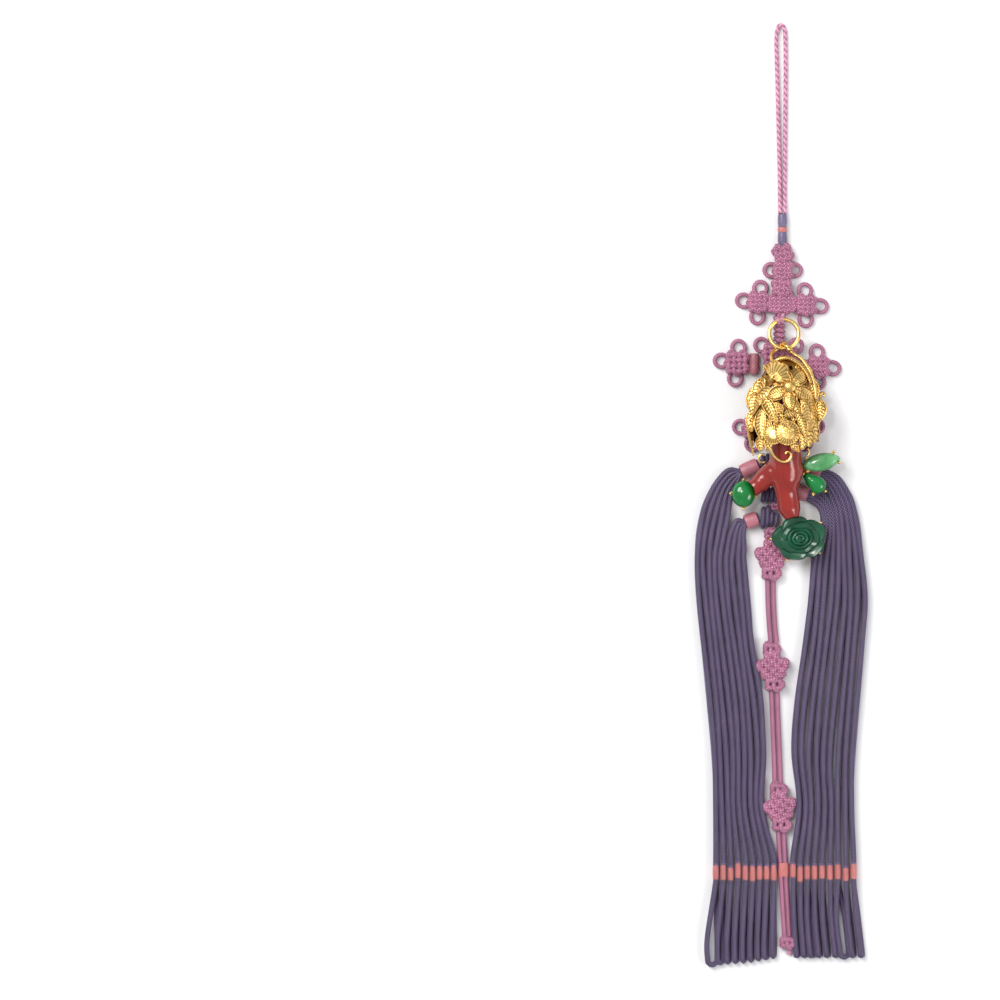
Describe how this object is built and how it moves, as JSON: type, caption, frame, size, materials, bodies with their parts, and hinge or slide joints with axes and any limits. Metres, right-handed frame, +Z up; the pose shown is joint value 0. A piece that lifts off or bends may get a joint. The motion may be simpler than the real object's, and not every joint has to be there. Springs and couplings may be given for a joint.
{
  "type": "norigae pendant",
  "caption": "Norigae pendant lying flat: knotted pink cord with a hanging loop, a gilt floral cap holding red coral set with green jade, and a purple cord tassel with a knotted centre drop.",
  "frame": {"origin": "on the surface the pendant lies on, under the middle of its box measured without the hanging loop and the centre drop", "axes": "+Y towards the hanging loop, +Z up from the surface, +X to the right of the face"},
  "size_m": [0.0688, 0.3768, 0.027],
  "materials": {
    "pink_cord": "glossy braided silk cord",
    "purple_cord": "braided silk cord",
    "rose_thread": "satin thread",
    "coral_thread": "satin thread",
    "purple_thread": "satin thread",
    "gold": "gilt, matte granular ground with polished high points",
    "coral": "polished red coral",
    "green_jade": "polished vivid green jade",
    "pale_jade": "polished milky green jade",
    "dark_jade": "polished carved dark green jade"
  },
  "bodies": {
    "root": {"hanging_loop": "pink_cord", "loop_binding": "purple_thread", "binding_band": "coral_thread", "top_knot": "pink_cord", "eared_knot": "pink_cord", "round_knot": "pink_cord", "cross_knot_centre": "pink_cord", "cross_knot_left": "pink_cord", "cross_knot_right": "pink_cord", "ring_column": "pink_cord", "ring_tie": "pink_cord", "gold_ring": "gold", "mid_knot_centre": "pink_cord", "mid_knot_left": "pink_cord", "mid_knot_right": "pink_cord", "woven_sleeve": "rose_thread", "back_column": "pink_cord", "low_knot_left": "pink_cord", "low_knot_right": "pink_cord", "cap": "gold", "coral": "coral", "coral_wires": "gold", "leaf_setting": "gold", "leaf_stone": "pale_jade", "pear_stone": "green_jade", "cabochon_setting": "gold", "cabochon": "green_jade", "rose_setting": "gold", "rose": "dark_jade", "head_knot_upper": "purple_cord", "head_knot_middle": "purple_cord", "head_knot_lower": "purple_cord", "core_knot": "pink_cord", "neck_wrap_upper_left": "rose_thread", "neck_wrap_lower_left": "rose_thread", "neck_wrap_upper_right": "rose_thread", "neck_wrap_lower_right": "rose_thread", "tassel_upper_left": "purple_cord", "tassel_lower_left": "purple_cord", "tassel_upper_right": "purple_cord", "tassel_lower_right": "purple_cord", "strand_wraps_left": "coral_thread", "strand_wraps_right": "coral_thread", "drop_knot_top": "pink_cord", "drop_knot_upper": "pink_cord", "drop_knot_middle": "pink_cord", "drop_knot_lower": "pink_cord", "drop_cord_1": "pink_cord", "drop_cord_2": "pink_cord", "drop_cord_3": "pink_cord", "drop_wrap": "coral_thread", "drop_end_knot": "pink_cord", "drop_tuft": "pink_cord"}
  },
  "joints": []
}
